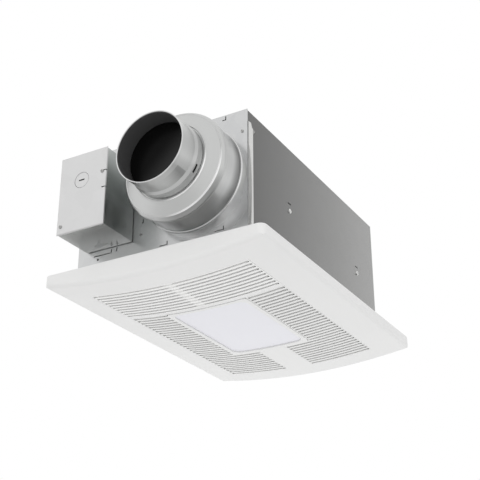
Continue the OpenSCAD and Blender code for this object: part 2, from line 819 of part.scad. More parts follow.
// An open-bottomed duct with a round inlet in its roof, hung from the housing by two tabs
module heater_case() {
  color([0.72, 0.73, 0.74]) difference() {
    union() {
      block([-heater_w / 2, heater_y0, heater_z], [heater_w / 2, heater_y1, heater_top]);
      translate([0, heater_y, fan_z]) cylinder(r = fan_r + fan_gap + sheet_t, h = heater_top - fan_z);
      for (s = [-1, 1]) translate([s * heater_w / 2, heater_y, 0])
        block([-sheet_t / 2, -tab_w / 2, heater_top - tab_w], [sheet_t / 2, tab_w / 2, inner_top]);
    }
    difference() {
      block([-heater_w / 2 + sheet_t, heater_y0 + sheet_t, heater_z - cut],
            [heater_w / 2 - sheet_t, heater_y1 - sheet_t, heater_top - sheet_t]);
      translate([0, heater_y, fan_z]) tube(fan_r + fan_gap + sheet_t, fan_r + fan_gap, heater_h);
    }
    translate([0, heater_y, fan_z - cut]) cylinder(r = fan_r + fan_gap, h = heater_h);
  }
}

element_z = heater_z + heater_h * 0.3;
element_h = 22;
bar_w = 7;
bars = 5;
frame_w = 8;
fin_t = 0.5;

module heater_element_frame() {
  color([0.15, 0.15, 0.15])
    for (s = [-1, 1]) {
      x = s * (heater_w / 2 - sheet_t - frame_w / 2);
      block([x - frame_w / 2, heater_y0 + sheet_t, element_z],
            [x + frame_w / 2, heater_y1 - sheet_t, element_z + element_h]);
    }
}

// Heater bars across the case, with fins between them
module heater_element() {
  span = heater_l - 2 * sheet_t - 2 * stop_gap;
  half = heater_w / 2 - sheet_t - frame_w;
  color([0.85, 0.85, 0.86]) {
    for (i = [0 : bars - 1]) {
      y = heater_y - span / 2 + bar_w / 2 + i * (span - bar_w) / (bars - 1);
      block([-half, y - bar_w / 2, element_z + element_h * 0.1],
            [half, y + bar_w / 2, element_z + element_h * 0.9]);
    }
    for (i = [1 : fins]) {
      x = -half + i * 2 * half / (fins + 1);
      block([x - fin_t / 2, heater_y - span / 2, element_z + element_h * 0.1],
            [x + fin_t / 2, heater_y + span / 2, element_z + element_h * 0.9]);
    }
  }
}

hmotor_r = 20;
hmotor_h = 30;
hshaft_r = 2.5;
bridge_w = 18;
bridge_rise = 12;
bridge_z = heater_top + bridge_rise;

// A hat-shaped strap over the inlet that carries the fan motor
module heater_motor_bridge() {
  reach = fan_r + fan_gap + bridge_w / 2;
  color([0.68, 0.69, 0.7]) difference() {
    union() {
      block([-reach, heater_y - bridge_w / 2, bridge_z],
            [reach, heater_y + bridge_w / 2, bridge_z + sheet_t]);
      translate([0, heater_y, bridge_z]) cylinder(r = hmotor_r + head_r, h = sheet_t);
      for (s = [-1, 1]) {
        translate([s * reach, heater_y, 0])
          block([-sheet_t / 2, -bridge_w / 2, heater_top], [sheet_t / 2, bridge_w / 2, bridge_z + sheet_t]);
        translate([s * (reach + bridge_w / 4), heater_y, heater_top + sheet_t / 2])
          cube([bridge_w / 2, bridge_w, sheet_t], center = true);
      }
    }
    translate([0, heater_y, bridge_z - cut]) cylinder(r = 2 * hshaft_r, h = sheet_t + 2 * cut);
  }
}

module heater_motor() {
  color([0.3, 0.3, 0.32]) translate([0, heater_y, bridge_z + sheet_t]) difference() {
    cylinder(r = hmotor_r, h = hmotor_h);
    translate([0, 0, -cut]) cylinder(r = hshaft_r + run_gap, h = hmotor_h * 0.7 + cut);
  }
}

module heater_shaft() {
  color([0.8, 0.8, 0.8]) translate([0, heater_y, fan_z + fan_gap])
    cylinder(r = hshaft_r, h = bridge_z + sheet_t + hmotor_h * 0.6 - fan_z - fan_gap);
}

fan_pitch = 38;
fan_blade_t = 1.6;

// Pitched blades cut to the fan's outline, on a capped hub
module heater_fan() {
  hub = 0.34 * fan_r;
  color([0.2, 0.2, 0.21]) translate([0, heater_y, fan_z + fan_gap]) difference() {
    union() {
      cylinder(r = hub, h = fan_h);
      intersection() {
        difference() {
          cylinder(r = fan_r, h = fan_h);
          translate([0, 0, -cut]) cylinder(r = hub - fan_blade_t, h = fan_h + 2 * cut);
        }
        for (i = [0 : fan_blades - 1]) rotate([0, 0, i * 360 / fan_blades])
          translate([fan_r / 2, 0, fan_h / 2]) rotate([fan_pitch, 0, 0])
            cube([fan_r + 2 * fan_blade_t, 3 * fan_h, fan_blade_t], center = true);
      }
    }
    translate([0, 0, -cut]) cylinder(r = hshaft_r, h = fan_h + 2 * cut);
  }
}

cutout_r = 8;

module thermal_cutout() {
  color([0.9, 0.9, 0.9])
    translate([heater_w / 4, heater_y0, element_z + element_h / 2]) rotate([90, 0, 0]) {
      cylinder(r = cutout_r, h = cutout_r / 2);
      cylinder(r = cutout_r * 0.7, h = cutout_r);
      for (s = [-1, 1]) translate([s * cutout_r / 2, 0, cutout_r])
        cube([cutout_r / 10, cutout_r / 2, cutout_r], center = true);
    }
}

// CONTROL

control_w = 110;
control_l = 42;
control_h = 34;
control_t = 1.6;
control_y = (wheel_y + 2.4 * arc_r / 2 + heater_y0) / 2;
control_x = -housing_w / 2 + control_w / 2 + 12 * control_t;
board_t = 1.6;

module at_control(z) {
  translate([control_x, control_y, inner_top - control_h + z]) children();
}

module control_case() {
  color([0.2, 0.2, 0.2]) at_control(0) difference() {
    translate([-control_w / 2, -control_l / 2, 0]) cube([control_w, control_l, control_h]);
    translate([-control_w / 2 + control_t, -control_l / 2 + control_t, control_t])
      cube([control_w - 2 * control_t, control_l - 2 * control_t, control_h]);
  }
}

module control_board() {
  color([0.1, 0.4, 0.2]) at_control(control_t)
    translate([-control_w / 2 + control_t + stop_gap, -control_l / 2 + control_t + stop_gap, 0])
      cube([control_w - 2 * control_t - 2 * stop_gap, control_l - 2 * control_t - 2 * stop_gap,
            board_t]);
}

// Two relays, a transformer and a capacitor on the board
module control_parts() {
  color([0.15, 0.15, 0.5]) at_control(control_t + board_t) {
    for (i = [0, 1]) translate([-control_w * (0.4 - 0.2 * i), -control_l * 0.3, 0])
      cube([control_w * 0.16, control_l * 0.4, control_h * 0.45]);
    translate([control_w * 0.05, -control_l * 0.35, 0])
      cube([control_w * 0.2, control_l * 0.6, control_h * 0.6]);
    translate([control_w * 0.38, 0, 0]) cylinder(r = control_w * 0.07, h = control_h * 0.7);
  }
}

// LIGHT

field_far = -field_near + near_rows * near_pitch + strip_w;
field_end = field_far + far_rows * far_pitch;

// The lens and its surround lie just inside the start of the far field
lens_lead = 0.5;
lens_half = lens_l / 2 + surround_w;
lens_y = field_far + lens_lead + lens_half;
lens_far = lens_y + lens_half;

// The tray reaches from the surround's near edge to the heater case
tray_gap = 1.6;
tray_w = lens_w + 2 * surround_w;
tray_l = heater_y0 - tray_gap - lens_y + lens_half;
tray_y = lens_y - lens_half + tray_l / 2;
tray_z = 2;
tray_h = 11;
strap_w = 10;
strap_gap = 4.59;

// A pressed pan, open below, on two straps that cross the housing beside the spring brackets
module light_tray() {
  color([0.88, 0.88, 0.88]) {
    difference() {
      translate([0, tray_y, tray_z]) linear_extrude(tray_h)
        round_rect(tray_w, tray_l, corner_r / 2);
      translate([0, tray_y, tray_z - cut]) linear_extrude(tray_h - sheet_t + cut)
        round_rect(tray_w - 2 * sheet_t, tray_l - 2 * sheet_t, corner_r / 2 - sheet_t);
    }
    for (sx = [-1, 1], sy = [-1, 1]) {
      y = sy * (slot_half + ledge_w + strap_gap + strap_w / 2);
      x0 = tray_w / 2 - sheet_t;
      mirror([sx < 0 ? 1 : 0, 0, 0])
        block([x0, y - strap_w / 2, tray_z + tray_h - sheet_t],
              [inner_x, y + strap_w / 2, tray_z + tray_h]);
      mirror([sx < 0 ? 1 : 0, 0, 0])
        block([inner_x - sheet_t, y - strap_w / 2, tray_z + tray_h - sheet_t],
              [inner_x, y + strap_w / 2, tray_z + tray_h + strap_w]);
    }
  }
}

led_board_t = 1.6;
led_w = 3.5;
led_t = 0.9;

module light_board() {
  color([0.93, 0.93, 0.9])
    translate([0, tray_y, tray_z + tray_h - sheet_t - led_board_t]) linear_extrude(led_board_t)
      round_rect(tray_w - 4 * surround_w, tray_l - 4 * surround_w, corner_r / 4);
}

module light_chips() {
  w = tray_w - 6 * surround_w;
  l = tray_l - 6 * surround_w;
  color([0.95, 0.9, 0.5])
    for (i = [0 : led_cols - 1], j = [0 : led_rows - 1])
      translate([-w / 2 + (i + 0.5) * w / led_cols, tray_y - l / 2 + (j + 0.5) * l / led_rows,
                 tray_z + tray_h - sheet_t - led_board_t - led_t / 2])
        cube([led_w, led_w, led_t], center = true);
}

driver_h = 22;

module light_driver() {
  color([0.25, 0.25, 0.27])
    translate([0, tray_y + tray_l * 0.22, tray_z + tray_h]) linear_extrude(driver_h)
      round_rect(tray_w * 0.4, tray_l * 0.25, corner_r / 4);
}

// SPRING BRACKETS AND SPRINGS

slot_z = 10;
slot_t = 1.5;
ledge_w = 11;
coil_z = -5;
coil_turns = 2;
coil_gap = 0.5;
coil_half = coil_turns * (wire_r + coil_gap / 2);
wire_room = coil_half + wire_r + 2 * stop_gap;
seat_x = inner_x - sheet_t - wire_room;

module spring_bracket() {
  reach = slot_half + ledge_w;
  difference() {
    union() {
      block([inner_x - ledge_w, -reach, slot_z], [inner_x, reach, slot_z + slot_t]);
      block([inner_x - sheet_t, -reach, slot_z], [inner_x, reach, slot_z + ledge_w]);
    }
    block([seat_x - wire_room, -slot_half, slot_z - cut],
          [seat_x + wire_room, slot_half, slot_z + slot_t + cut]);
  }
}

module spring_bracket_left() { color([0.7, 0.7, 0.7]) mirror([1, 0, 0]) spring_bracket(); }
module spring_bracket_right() { color([0.7, 0.7, 0.7]) spring_bracket(); }

// A closed coil of wire about the X axis, as one tube swept along a helix
module spring_coil() {
  sides = 6;
  steps = 16 * coil_turns;
  width = 2 * coil_half;
  path = [for (i = [0 : steps]) let (turn = 360 * coil_turns * i / steps)
    [seat_x - width / 2 + width * i / steps, coil_r * sin(turn), coil_z + coil_r * cos(turn)]];
  ring = [for (i = [0 : steps], k = [0 : sides - 1]) let (
      turn = 360 * coil_turns * i / steps, a = 360 * k / sides,
      grow = wire_r * cos(a))
    path[i] + [wire_r * sin(a), grow * sin(turn), grow * cos(turn)]];
  faces = concat(
    [[for (k = [0 : sides - 1]) k]],
    [for (i = [0 : steps - 1], k = [0 : sides - 1]) let (n = (k + 1) % sides)
      [i * sides + k, (i + 1) * sides + k, (i + 1) * sides + n]],
    [for (i = [0 : steps - 1], k = [0 : sides - 1]) let (n = (k + 1) % sides)
      [i * sides + k, (i + 1) * sides + n, i * sides + n]],
    [[for (k = [sides - 1 : -1 : 0]) steps * sides + k]]);
  polyhedron(ring, faces);
}

module spring_coil_left() { color([0.75, 0.75, 0.76]) mirror([1, 0, 0]) spring_coil(); }
module spring_coil_right() { color([0.75, 0.75, 0.76]) spring_coil(); }

// An arm of the spring: a straight wire with a hook, leaning by the rest angle
module spring_arm(side) {
  start = coil_r + 2 * wire_r + stop_gap;
  hook = 3 * coil_r;
  translate([seat_x + side * coil_half, 0, coil_z]) rotate([-side * arm_angle, 0, 0]) {
    translate([0, 0, start]) cylinder(r = wire_r, h = arm_len - start, $fn = 24);
    translate([0, 0, arm_len]) rotate([side * 90, 0, 0]) {
      sphere(wire_r, $fn = 24);
      cylinder(r = wire_r, h = hook / 2, $fn = 24);
    }
  }
}

module spring_arm_right_front() { color([0.75, 0.75, 0.76]) spring_arm(-1); }
module spring_arm_right_back() { color([0.75, 0.75, 0.76]) spring_arm(1); }
module spring_arm_left_front() { color([0.75, 0.75, 0.76]) mirror([1, 0, 0]) spring_arm(-1); }
module spring_arm_left_back() { color([0.75, 0.75, 0.76]) mirror([1, 0, 0]) spring_arm(1); }

// GRILLE

// The grille's face is part of a wide cylinder about an axis along Y, so it curves across its
// width. Everything on the face is turned about that axis.
sagitta = grille_h - grille_edge;
vault_r = (pow(grille_w / 2, 2) + pow(sagitta, 2)) / (2 * sagitta);
vault_z = vault_r - grille_h;
// Angle that every sweep runs past what it has to cover
spare_turn = 1;
vault_turn = asin(grille_w / 2 / vault_r) + spare_turn;

// Height of the moulding's face at a place across the grille, drawn in by inset
function face_z(x, inset = 0) = vault_z - sqrt(pow(vault_r - inset, 2) - pow(x, 2));

// Turns a profile about the vault's axis: its first axis is the distance from the axis, and its
// second runs along -Y
module vault_sweep(half_turn = vault_turn) {
  translate([0, 0, vault_z]) rotate([90, 0, 0]) rotate([0, 0, -90 - half_turn])
    rotate_extrude(angle = 2 * half_turn, $fn = 720) children();
}

// The moulding's outer form, drawn in by inset and open upwards to the height top
module vault_body(inset, top) {
  depth = grille_h + shell_t + stop_gap;
  r_edge = edge_r - inset;
  half_w = grille_w / 2 - inset;
  half_l = grille_l / 2 - inset;
  round_x = half_w - r_edge;
  round_z = vault_z - sqrt(pow(vault_r - inset - r_edge, 2) - pow(round_x, 2));
  intersection() {
    vault_sweep() {
      translate([vault_r - depth - top, -half_l])
        square([depth + top - inset - r_edge, 2 * half_l]);
      translate([vault_r - depth - top, -half_l + r_edge])
        square([depth + top - inset, 2 * half_l - 2 * r_edge]);
      for (s = [-1, 1]) translate([vault_r - inset - r_edge, s * (half_l - r_edge)])
        circle(r_edge, $fn = 48);
    }
    translate([0, 0, -depth]) linear_extrude(depth + top)
      round_rect(2 * half_w, 2 * half_l, corner_r - inset);
    translate([0, grille_l, 0]) rotate([90, 0, 0]) linear_extrude(2 * grille_l) {
      translate([-round_x * (1 + r_edge / vault_r), -depth])
        square([2 * round_x * (1 + r_edge / vault_r), depth + top]);
      translate([-half_w, round_z]) square([2 * half_w, top - round_z]);
      for (s = [-1, 1]) translate([s * round_x, round_z]) circle(r_edge, $fn = 48);
    }
  }
}

// A layer of the face between two depths, cut to an outline in plan
module face_layer(proud, depth) {
  intersection() {
    vault_sweep() translate([vault_r - depth, -grille_l / 2]) square([depth + proud, grille_l]);
    translate([0, 0, -grille_h - cut - proud]) linear_extrude(grille_h + cut + proud) children();
  }
}

// The plan outlines of the four openings, seen from above with +Y away from the duct
module near_window() {
  translate([-field_x, -field_near]) square([2 * field_x, near_rows * near_pitch]);
}

module far_window() {
  difference() {
    translate([-field_x, field_far]) square([2 * field_x, far_rows * far_pitch]);
    translate([-pad_w / 2, lens_far]) square([pad_w, field_end]);
  }
}

post_w = 6;
post_t = 2;
post_x = (housing_w + flange_w) / 2;

module grille_frame() {
  color([0.93, 0.93, 0.93]) {
    difference() {
      vault_body(0, -stop_gap);
      vault_body(shell_t, shell_t);
      translate([0, 0, -grille_h - 2 * cut]) linear_extrude(grille_h + 2 * cut) {
        near_window();
        far_window();
      }
    }
    // posts that meet the housing's flange
    for (sx = [-1, 1], sy = [-1, 1])
      translate([sx * post_x, sy * flange_hole_pitch * 0.42, 0])
        block([-post_t / 2, -post_w / 2, face_z(post_x, shell_t / 2)],
              [post_t / 2, post_w / 2, -stop_gap]);
  }
}

// Slats across the field from one place along Y: wide below, narrow above, leaning to the duct.
// The outer two are half hidden in the louvre's rims.
module slats(start, count, pitch) {
  shift = slat_h * tan(slat_lean);
  vault_sweep(asin(field_x / vault_r) + spare_turn)
    for (i = [0 : count]) translate([0, -start - i * pitch])
      polygon([[vault_r, -slat_w / 2], [vault_r, slat_w / 2],
               [vault_r - slat_h, slat_w / 2 + shift],
               [vault_r - slat_h, slat_w / 2 + shift - slat_top_w]]);
}

louvre_rim = 1.6;

// The near louvre drops into the frame with a fine groove at its two ends
near_end_gap = 3 * fit_gap;

module near_outline(inset, end_inset) {
  translate([-field_x + end_inset, -field_near + inset])
    square([2 * (field_x - end_inset), near_rows * near_pitch - 2 * inset]);
}

module near_louvre() {
  color([0.95, 0.95, 0.95]) {
    face_layer(0, slat_h) difference() {
      near_outline(fit_gap, near_end_gap);
      near_outline(louvre_rim, louvre_rim + near_end_gap);
    }
    face_layer(-rib_depth, slat_h) translate([-near_rib_w / 2, -field_near + fit_gap])
      square([near_rib_w, near_rows * near_pitch - 2 * fit_gap]);
    intersection() {
      slats(-field_near, near_rows, near_pitch);
      translate([0, 0, -grille_h - cut]) linear_extrude(grille_h + cut)
        near_outline(fit_gap, near_end_gap);
    }
  }
}

// One side of the far field: a column beside the lens and half of the far band
module far_outline(inset) {
  x0 = lens_w / 2 + surround_w + inset;
  translate([x0, field_far + inset])
    square([field_x - inset - x0, field_end - field_far - 2 * inset]);
  translate([pad_w / 2 + inset, lens_far + inset])
    square([field_x - pad_w / 2 - 2 * inset, field_end - lens_far - 2 * inset]);
}

module far_louvre() {
  face_layer(0, slat_h) difference() {
    far_outline(fit_gap);
    far_outline(louvre_rim);
  }
  intersection() {
    slats(field_far, far_rows, far_pitch);
    translate([0, 0, -grille_h - cut]) linear_extrude(grille_h + cut) far_outline(fit_gap);
  }
}

module far_louvre_left() { color([0.9, 0.9, 0.9]) mirror([1, 0, 0]) far_louvre(); }
module far_louvre_right() { color([0.9, 0.9, 0.9]) far_louvre(); }

lens_corner = 12;

module lens_surround() {
  color([0.96, 0.96, 0.96]) face_layer(surround_proud, slat_h) translate([0, lens_y])
    difference() {
      round_rect(lens_w + 2 * surround_w - 2 * fit_gap, 2 * lens_half - 2 * fit_gap,
                 lens_corner / 2);
      round_rect(lens_w, lens_l, lens_corner);
    }
}

module light_lens() {
  color([0.9, 0.9, 0.93]) face_layer(-lens_recess, lens_recess + lens_t)
    translate([0, lens_y]) round_rect(lens_w - 2 * fit_gap, lens_l - 2 * fit_gap, lens_corner);
}

// SPRING SEATS

seat_w = 2;

// An ear on the border's inner face, with a pin that carries the coil
module spring_seat() {
  ear = coil_r + 3 * wire_r;
  x0 = seat_x + coil_half + wire_r + stop_gap;
  pin_len = 2 * (coil_half + wire_r + stop_gap);
  block([x0, -ear, face_z(x0 + seat_w, shell_t) + run_gap], [x0 + seat_w, ear, coil_z + coil_r / 2]);
  translate([x0 - pin_len, 0, coil_z]) rotate([0, 90, 0])
    cylinder(r = coil_r - wire_r - stop_gap, h = pin_len + seat_w / 2, $fn = 32);
}

module spring_seat_left() { color([0.9, 0.9, 0.9]) mirror([1, 0, 0]) spring_seat(); }
module spring_seat_right() { color([0.9, 0.9, 0.9]) spring_seat(); }

housing_shell();
side_wall_screws();
duct_plate();
duct_plate_screws();
duct_collar_large();
duct_reducer();
damper_sleeve();
damper_flap();
damper_pin();
outlet_gasket();
junction_box();
junction_box_cover();
conduit_knockout();
junction_box_screws();
terminal_block();
ground_screw();
blower_scroll();
blower_inlet_ring();
scroll_brackets();
blower_motor();
blower_motor_plate();
blower_motor_screws();
blower_bearing();
blower_wheel();
blower_shaft();
blower_wheel_clip();
heater_case();
heater_element();
heater_element_frame();
heater_motor_bridge();
heater_motor();
heater_fan();
heater_shaft();
thermal_cutout();
control_case();
control_board();
control_parts();
light_tray();
light_board();
light_chips();
light_driver();
spring_bracket_left();
spring_bracket_right();
grille_frame();
near_louvre();
far_louvre_left();
far_louvre_right();
lens_surround();
light_lens();
spring_seat_left();
spring_seat_right();
spring_coil_left();
spring_coil_right();
spring_arm_left_front();
spring_arm_left_back();
spring_arm_right_front();
spring_arm_right_back();
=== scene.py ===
import bpy
from mathutils import Matrix, Vector


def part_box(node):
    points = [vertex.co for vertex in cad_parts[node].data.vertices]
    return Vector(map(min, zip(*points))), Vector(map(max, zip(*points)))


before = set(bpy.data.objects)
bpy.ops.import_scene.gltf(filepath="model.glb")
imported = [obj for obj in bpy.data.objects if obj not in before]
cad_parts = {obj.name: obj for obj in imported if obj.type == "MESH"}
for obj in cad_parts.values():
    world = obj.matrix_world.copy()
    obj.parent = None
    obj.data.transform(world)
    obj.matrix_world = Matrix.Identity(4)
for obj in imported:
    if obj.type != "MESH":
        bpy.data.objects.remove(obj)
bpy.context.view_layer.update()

# The viewpoint. The camera stands below and in front of the duct end, turned up to the ceiling,
# as a photographer would kneel under the unit.
camera_at = Vector((0.7066, -1.2322, -0.5659))
camera_forward = Vector((-0.4486, 0.7833, 0.4304)).normalized()
camera_right = Vector((0.8675, 0.4974, -0.0011)).normalized()
camera_up = camera_right.cross(camera_forward)
camera_lens = bpy.data.cameras.new("camera")
camera_lens.sensor_width = 36
camera_lens.lens = 79.42
camera_lens.clip_end = 60
camera = bpy.data.objects.new("camera", camera_lens)
camera.matrix_world = Matrix.Translation(camera_at) @ Matrix(
    (camera_right, camera_up, -camera_forward)).transposed().to_4x4()
bpy.context.scene.collection.objects.link(camera)
bpy.context.scene.camera = camera
bpy.context.scene.view_settings.view_transform = "Standard"

# The room. A pale matt floor, painted, at the height of a real one below the ceiling. Nothing
# stands on it.
floor_z = -1.7
floor_half = 9
floor_mesh = bpy.data.meshes.new("floor")
floor_mesh.from_pydata(
    [(-floor_half, -floor_half, floor_z), (floor_half, -floor_half, floor_z),
     (floor_half, floor_half, floor_z), (-floor_half, floor_half, floor_z)],
    [], [(0, 1, 2, 3)])
floor = bpy.data.objects.new("floor", floor_mesh)
bpy.context.scene.collection.objects.link(floor)
floor_paint = bpy.data.materials.new("floor_paint")
floor_paint.use_nodes = True
floor_shader = floor_paint.node_tree.nodes["Principled BSDF"]
floor_shader.inputs["Base Color"].default_value = (0.86, 0.86, 0.86, 1)
floor_shader.inputs["Roughness"].default_value = 0.9
floor_mesh.materials.append(floor_paint)


# The studio round the unit. The camera, glass and metal see a white ground. A grey flag hangs in it
# up behind the unit's right side: only metal shows it, which gives the flat sheet there its tone.
# Soft lamps in front, below and to the right light the unit.
def feed_node(tree, node, feeds):
    """Gives inputs of a node, by name or number, a value or the output of another node"""
    for entry, feed in dict(feeds).items():
        if isinstance(feed, bpy.types.NodeSocket):
            tree.links.new(feed, node.inputs[entry])
        else:
            node.inputs[entry].default_value = feed


def add_node(tree, kind, feeds=(), **settings):
    """A new node with its settings and its feeds"""
    node = tree.nodes.new("ShaderNode" + kind)
    for setting, choice in settings.items():
        setattr(node, setting, choice)
    feed_node(tree, node, feeds)
    return node


def reckon(tree, operation, *feeds):
    """The outcome of one sum or test"""
    return add_node(tree, "Math", enumerate(feeds), operation=operation).outputs["Value"]


def fade(tree, value, start, end, low=0.0, high=1.0, step="LINEAR"):
    """Goes from low to high while the value goes from start to end, straight or in a soft step"""
    span = {"Value": value, "From Min": start, "From Max": end, "To Min": low, "To Max": high}
    return add_node(tree, "MapRange", span, interpolation_type=step).outputs["Result"]


def tint(tree, mask, colour, other, blend="MIX"):
    """A colour that becomes another one, or is multiplied by it, where a mask is white"""
    tones = {"Factor": mask, "A": colour, "B": other}
    return add_node(tree, "Mix", tones, data_type="RGBA", blend_type=blend).outputs["Result"]


flag_towards = Vector((0.695, 0.434, 0.574)).normalized()
flag_rim_cosine = 0.74
flag_full_cosine = 0.97
flag_grey = (0.8, 0.8, 0.8, 1)
ground_white = (1, 1, 1, 1)
light_grey = (0.86, 0.86, 0.86, 1)
studio = bpy.data.worlds.new("studio")
studio.use_nodes = True
bpy.context.scene.world = studio
room = studio.node_tree
room.nodes.clear()
look = add_node(room, "TexCoord")
towards_flag = add_node(room, "VectorMath", {0: look.outputs["Generated"], 1: flag_towards},
                        operation="DOT_PRODUCT")
flag_edge = fade(room, towards_flag.outputs["Value"], flag_rim_cosine, flag_full_cosine,
                 step="SMOOTHSTEP")
ray = add_node(room, "LightPath").outputs
flag_seen = reckon(room, "MULTIPLY", flag_edge, ray["Is Glossy Ray"])
white_ground = add_node(room, "Background",
                        {"Color": tint(room, flag_seen, ground_white, flag_grey)})
soft_light = add_node(room, "Background", {"Color": light_grey})
camera_or_metal = reckon(room, "ADD", ray["Is Camera Ray"], ray["Is Glossy Ray"])
seen_straight = add_node(room, "Math", {0: camera_or_metal, 1: ray["Is Transmission Ray"]},
                         operation="ADD", use_clamp=True)
ground_or_light = add_node(room, "MixShader", {
    "Fac": seen_straight.outputs["Value"],
    1: soft_light.outputs["Background"],
    2: white_ground.outputs["Background"]})
add_node(room, "OutputWorld", {"Surface": ground_or_light.outputs["Shader"]})


def softbox(name, at, aim, size, watts):
    """A square soft lamp at a place, turned to a point, that metal doesn't show"""
    lamp = bpy.data.lights.new(name, "AREA")
    lamp.shape = "SQUARE"
    lamp.size = size
    lamp.energy = watts
    holder = bpy.data.objects.new(name, lamp)
    holder.location = at
    holder.rotation_euler = (Vector(aim) - Vector(at)).to_track_quat("-Z", "Y").to_euler()
    holder.visible_glossy = False
    bpy.context.scene.collection.objects.link(holder)


softbox("softbox_front", at=(0.4, -1.7, 0.05), aim=(0.1, -0.2, 0), size=1.0, watts=4.2)
softbox("softbox_below", at=(-0.3, 0.9, -1.1), aim=(-0.05, 0.2, 0), size=1.3, watts=5.5)
softbox("softbox_right", at=(1.6, 0.1, -0.2), aim=(0.12, 0, 0), size=1.0, watts=1.5)


# Housing. A deep box folded from galvanised sheet, open below, with its lower edge turned out as
# a flange for the ceiling screws. Painted shade darkens its right wall towards the duct end, and a
# painted highlight brightens the strip that is folded out beside the duct plate.
def begin_group(name, inputs, outputs):
    """A node group with named inputs and outputs, with the nodes that lead in and out of it"""
    group = bpy.data.node_groups.new(name, "ShaderNodeTree")
    for title, kind, value in inputs:
        socket = group.interface.new_socket(title, in_out="INPUT", socket_type="NodeSocket" + kind)
        socket.default_value = value
    for title, kind in outputs:
        group.interface.new_socket(title, in_out="OUTPUT", socket_type="NodeSocket" + kind)
    return group, group.nodes.new("NodeGroupInput").outputs, group.nodes.new("NodeGroupOutput")


def make_zinc_flakes():
    """Zinc skin on sheet steel: crystal flakes, soft clouds and a fine grain, as a group"""
    group, enter, leave = begin_group(
        "zinc_flakes",
        [("Pale", "Color", (0.6, 0.6, 0.6, 1)), ("Deep", "Color", (0.5, 0.5, 0.5, 1)),
         ("Flakes per metre", "Float", 90), ("Smoothest", "Float", 0.35),
         ("Roughest", "Float", 0.5)],
        [("Color", "Color"), ("Roughness", "Float"), ("Height", "Float")])
    flake_share = 0.4
    deepest_patch = 0.4
    palest_patch = 1.0
    place = add_node(group, "TexCoord").outputs["Object"]
    flakes = add_node(group, "TexVoronoi", {"Vector": place, "Scale": enter["Flakes per metre"]})
    flake = add_node(group, "SeparateColor", {"Color": flakes.outputs["Color"]}).outputs
    clouds = add_node(group, "TexNoise", {"Vector": place, "Scale": 9, "Detail": 4})
    patches = reckon(group, "MULTIPLY_ADD", flake["Red"], flake_share, clouds.outputs["Fac"])
    paleness = fade(group, patches, deepest_patch, palest_patch)
    grain = add_node(group, "TexNoise", {"Vector": place, "Scale": 700, "Detail": 2})
    feed_node(group, leave, {
        "Color": tint(group, paleness, enter["Deep"], enter["Pale"]),
        "Roughness": fade(group, flake["Green"], 0, 1, enter["Smoothest"], enter["Roughest"]),
        "Height": grain.outputs["Fac"]})
    return group


zinc_flakes = make_zinc_flakes()


def shade(material, feeds):
    """Gives inputs of a material's shader a value or a link"""
    tree = material.node_tree
    feed_node(tree, tree.nodes["Principled BSDF"], feeds)


def skin_of(material, title="Color"):
    """What a material's skin group puts out"""
    return material.node_tree.nodes["skin"].outputs[title]


def skinned(name, group, skin_values, grain, grain_depth):
    """A material whose colour and fine relief come from a skin group with values of its own"""
    material = bpy.data.materials.new(name)
    material.use_nodes = True
    tree = material.node_tree
    skin = add_node(tree, "Group", skin_values, node_tree=group, name="skin")
    relief = add_node(tree, "Bump", {
        "Strength": grain, "Distance": grain_depth, "Height": skin.outputs["Height"]})
    shade(material, {"Base Color": skin.outputs["Color"], "Normal": relief.outputs["Normal"]})
    return material


def zinc_sheet(name, pale, deep, flakes, rough):
    """Galvanised sheet in two close tones of zinc, between its smoothest and its roughest"""
    smoothest, roughest = rough
    skin_values = {"Pale": (*pale, 1), "Deep": (*deep, 1), "Flakes per metre": flakes,
                   "Smoothest": smoothest, "Roughest": roughest}
    material = skinned(name, zinc_flakes, skin_values, grain=0.004, grain_depth=0.001)
    shade(material, {"Metallic": 1, "Roughness": skin_of(material, "Roughness")})
    return material


def brighten(tree, colour, scale):
    """A colour made brighter or darker by a scale that changes over the surface"""
    scaled = add_node(tree, "VectorMath", {"Vector": colour, "Scale": scale}, operation="SCALE")
    return scaled.outputs["Vector"]


def dress(material, *nodes):
    """Puts a finish on pieces that keep their own shape"""
    for name in nodes:
        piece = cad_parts[name].data
        piece.materials.clear()
        piece.materials.append(material)


far_end_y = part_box("housing_shell")[1].y
plate_back_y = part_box("duct_plate")[1].y
# A wall faces one way when more than this part of its normal points there.
facing_part = 0.5


def housing_sheet():
    """The housing's sheet: painted shade on its right wall towards the duct end, a painted
    highlight on its folded strip
    """
    material = zinc_sheet("housing_zinc", pale=(0.37, 0.37, 0.365), deep=(0.355, 0.355, 0.35),
                          flakes=85, rough=(0.22, 0.25))
    tree = material.node_tree
    place = add_node(tree, "TexCoord").outputs
    along = add_node(tree, "SeparateXYZ", {"Vector": place["Object"]}).outputs["Y"]
    facing = add_node(tree, "SeparateXYZ", {"Vector": place["Normal"]}).outputs["X"]
    right_wall = reckon(tree, "GREATER_THAN", facing, facing_part)
    # Painted shade: the right wall darkens towards the duct end.
    right_wall_painted_shade = fade(tree, along, plate_back_y, far_end_y, low=0.4, high=0.96)
    other_walls = 0.9
    wall_painted_shade = add_node(tree, "Mix", {"Factor": right_wall, "A": other_walls, "B": right_wall_painted_shade})
    # Painted highlight: the strip folded out beside the duct plate is brightened.
    strip_painted_highlight = 1.8
    strip_margin = 0.0001
    on_strip = reckon(tree, "LESS_THAN", along, plate_back_y - strip_margin)
    tone = add_node(tree, "Mix", {
        "Factor": on_strip, "A": wall_painted_shade.outputs["Result"], "B": strip_painted_highlight})
    shade(material, {"Base Color": brighten(tree, skin_of(material), tone.outputs["Result"])})
    return material


dress(housing_sheet(), "housing_shell")

